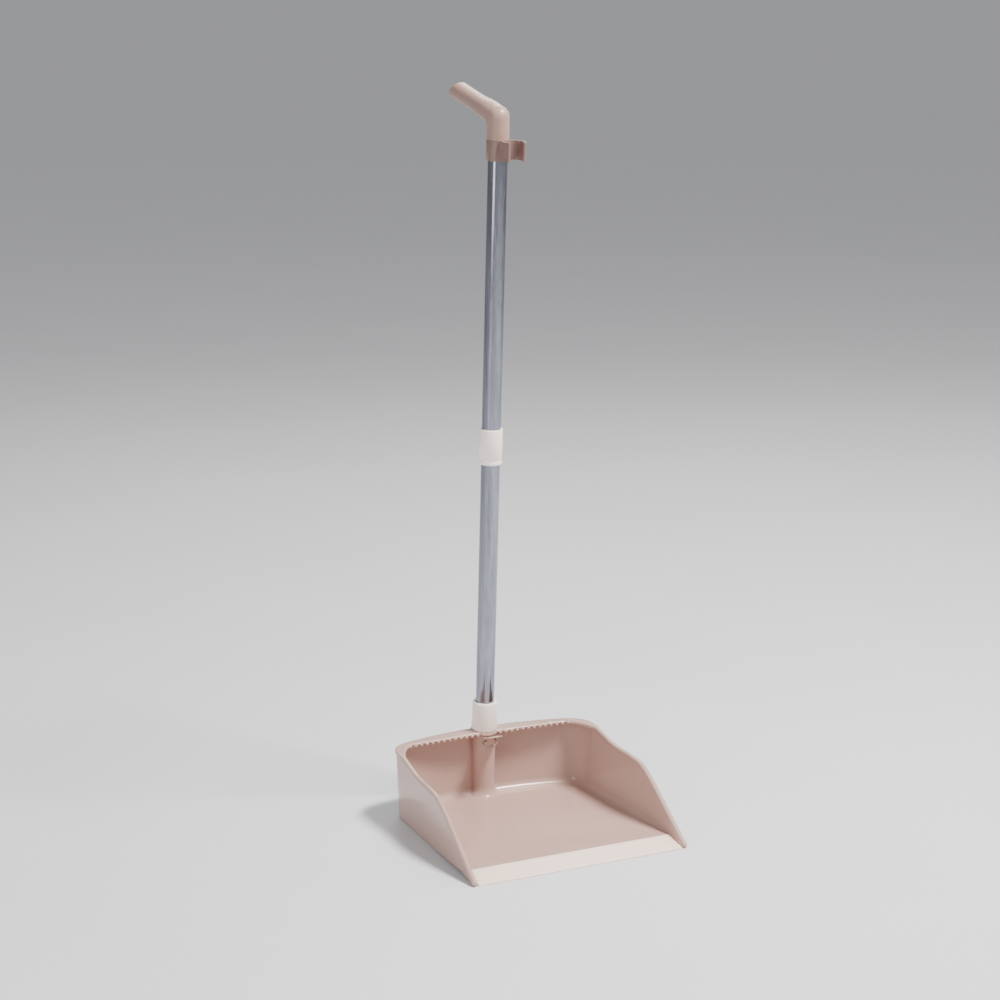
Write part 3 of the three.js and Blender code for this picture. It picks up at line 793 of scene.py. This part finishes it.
def moulded_plastic(name, deep, light, gloss):
    """Moulded plastic: faint flow marks in its colour, a fine orange-peel skin, light scuffing."""
    plastic = Finish(name, {"IOR": 1.49})
    flow = plastic.noise(9.0, 2.0)
    speck = plastic.noise(900.0, 2.0)
    peel = plastic.noise(420.0, 2.0)
    scuff = plastic.noise(60.0, 5.0, (1, 6, 1))
    tone = (flow * 0.75 + speck * 0.25).clamped(0, 1)
    return plastic.done({
        "Base Color": plastic.blend(tone, deep, light),
        "Roughness": (scuff * 0.16 + flow * 0.06 + (gloss - 0.1)).clamped(0.08, 0.9),
        "Normal": plastic.bump(peel, 0.16, 0.0002)})


def drawn_steel(name):
    """Polished tube with fine drawing lines along it and faint fingerprints."""
    steel = Finish(name, {"IOR": 2.5})
    lines = steel.noise(700.0, 3.0, (1, 1, 0.012), -LEAN)
    bands = steel.noise(160.0, 2.0, (1, 1, 0.006), -LEAN)
    smear = steel.noise(26.0, 4.0)
    tone = (lines * 0.5 + bands * 0.5).clamped(0, 1)
    return steel.done({
        "Base Color": steel.blend(tone, paint(66, 70, 84), paint(178, 181, 192)),
        "Metallic": (1.0 - lines * 0.06).clamped(0.9, 1.0),
        "Roughness": (lines * 0.12 + smear * 0.12 + 0.03).clamped(0.06, 0.4),
        "Normal": steel.bump(lines, 0.12, 0.0001)})


def soft_lip_finish(name):
    """Satin elastomer: finely grained, with faint lengthwise wipe marks."""
    satin = Finish(name, {"IOR": 1.45})
    grain = satin.noise(1500.0, 3.0)
    wipe = satin.noise(120.0, 4.0, (0.05, 1, 1))
    tone = (wipe * 0.7 + grain * 0.3).clamped(0, 1)
    return satin.done({
        "Base Color": satin.blend(tone, paint(240, 212, 197), paint(251, 230, 217)),
        "Roughness": (wipe * 0.18 + 0.34).clamped(0.2, 0.8),
        "Normal": satin.bump(grain * 0.5 + wipe * 0.5, 0.2, 0.0001)})


def floor_paint(name):
    """Pale matt paint, very slightly uneven."""
    matt = Finish(name, {"IOR": 1.4})
    tone = matt.noise(3.0, 2.0)
    return matt.done({"Base Color": matt.blend(tone, paint(214, 217, 222), paint(221, 223, 227)),
                      "Roughness": (tone * 0.1 + 0.5).clamped(0.3, 0.9)})


# ------------------------------------------------------------------ put together

TAUPE = moulded_plastic("taupe_polypropylene", paint(176, 146, 136), paint(190, 160, 149), 0.16)
DARK_TAUPE = moulded_plastic("dark_taupe_polypropylene", paint(150, 121, 111), paint(166, 137, 126), 0.36)
# Painted shade: the clip is the same dark taupe plastic as the grip, but its copy is made darker to stand
# in for the shade on it.
CLIP_PAINTED_SHADE_TAUPE = moulded_plastic("clip_taupe_painted_shade", paint(118, 92, 85), paint(134, 107, 99), 0.32)
WHITE = moulded_plastic("off_white_plastic", paint(252, 238, 230), paint(254, 247, 241), 0.3)
STEEL = drawn_steel("drawn_stainless_steel")
LIP = soft_lip_finish("soft_lip_satin")


def fit(piece, material, slot, body, *nodes):
    """Gives a finished piece its material and its place in the frame, and hides the parts it stands for;
    the slot is not used.
    """
    piece.data.materials.clear()
    piece.data.materials.append(material)
    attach(piece, body)
    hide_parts(*nodes)


fit(build_pan(), TAUPE, "taupe_plastic", "scoop", "pan")
fit(build_lip_strip(), LIP, "soft_lip", "scoop", "lip_strip")
fit(build_release_tab(), TAUPE, "taupe_plastic", "latch", "release_tab")
fit(build_lower_sleeve(), WHITE, "white_plastic", "lower_handle", "lower_sleeve")
fit(build_tube("lower_drawn_tube", SEAT_S + 3.6, COUPLING_MID - STOP_HALF - GAP), STEEL,
    "stainless_tube", "lower_handle", "lower_tube")
fit(build_coupling(), WHITE, "white_plastic", "lower_handle", "mid_coupling")
fit(build_tube("upper_drawn_tube", COUPLING_MID + STOP_HALF + GAP, TUBE_TOP_S), STEEL,
    "stainless_tube", "upper_handle", "upper_tube")
# The clip wears the darkened copy of the dark taupe, a painted shade.
fit(build_broom_clip(), CLIP_PAINTED_SHADE_TAUPE, "dark_taupe_plastic", "clip", "broom_clip")
fit(build_grip(), DARK_TAUPE, "dark_taupe_plastic", "upper_handle", "grip")

pin = frame["nodes"]["tab_pin"]
pin.data.materials.clear()
pin.data.materials.append(STEEL)


# ------------------------------------------------------------------ floor, lights and camera

def pale_floor():
    """A plain pale floor, far wider than any view of the pan."""
    bpy.ops.object.select_all(action="DESELECT")
    bpy.ops.mesh.primitive_plane_add(size=400)
    ground = bpy.context.object
    ground.name = ground.data.name = "studio_floor"
    ground.data.materials.append(floor_paint("studio_floor_paint"))


def area_light(name, place, target, size, watts, color):
    """A rectangular light that faces its target."""
    lamp = bpy.data.objects.new(name, bpy.data.lights.new(name, "AREA"))
    bpy.context.scene.collection.objects.link(lamp)
    lamp.data.shape, lamp.data.size, lamp.data.size_y = "RECTANGLE", size[0], size[1]
    lamp.data.energy, lamp.data.color = watts, color
    lamp.location = place
    lamp.rotation_mode = "QUATERNION"
    lamp.rotation_quaternion = (Vector(target) - Vector(place)).to_track_quat("-Z", "Y")


def studio():
    """A high key light in front, a tall soft one on the left, one behind, and pale air."""
    area_light("key", (0.85, -0.85, 2.45), (0, 0.03, 0.1), (0.8, 0.4), 165, (1.0, 0.95, 0.91))
    area_light("window", (-1.9, -0.95, 0.9), (0, 0.05, 0.5), (0.8, 1.5), 16, (1.0, 0.97, 0.95))
    area_light("back", (0.9, 1.7, 1.8), (0, 0, 0.3), (1.2, 0.6), 18, (1.0, 0.98, 0.96))
    world = bpy.data.worlds.new("studio_air")
    bpy.context.scene.world = world
    world.use_nodes = True
    background = world.node_tree.nodes["Background"]
    background.inputs["Color"].default_value = (0.92, 0.91, 0.92, 1)
    background.inputs["Strength"].default_value = 0.5


def camera():
    """Stands ahead of the pan and to its left, above the grip, and looks down at it."""
    right = Vector((math.cos(VIEW_TURN), math.sin(VIEW_TURN), 0))
    level = Vector((-math.sin(VIEW_TURN), math.cos(VIEW_TURN), 0))
    ahead = level * math.cos(VIEW_PITCH) - Vector((0, 0, math.sin(VIEW_PITCH)))
    down = ahead.cross(right)
    across = math.cos(VIEW_ROLL) * right - math.sin(VIEW_ROLL) * down
    below = math.sin(VIEW_ROLL) * right + math.cos(VIEW_ROLL) * down
    place = LIP_MIDDLE - across * LIP_TO_RIGHT - below * LIP_BELOW - ahead * LIP_AHEAD
    eye = bpy.data.objects.new("camera", bpy.data.cameras.new("camera"))
    bpy.context.scene.collection.objects.link(eye)
    axes = Matrix((across, -below, -ahead)).transposed()
    eye.matrix_world = Matrix.Translation(place) @ axes.to_4x4()
    eye.data.lens = LENS
    bpy.context.scene.camera = eye


pale_floor()
studio()
camera()
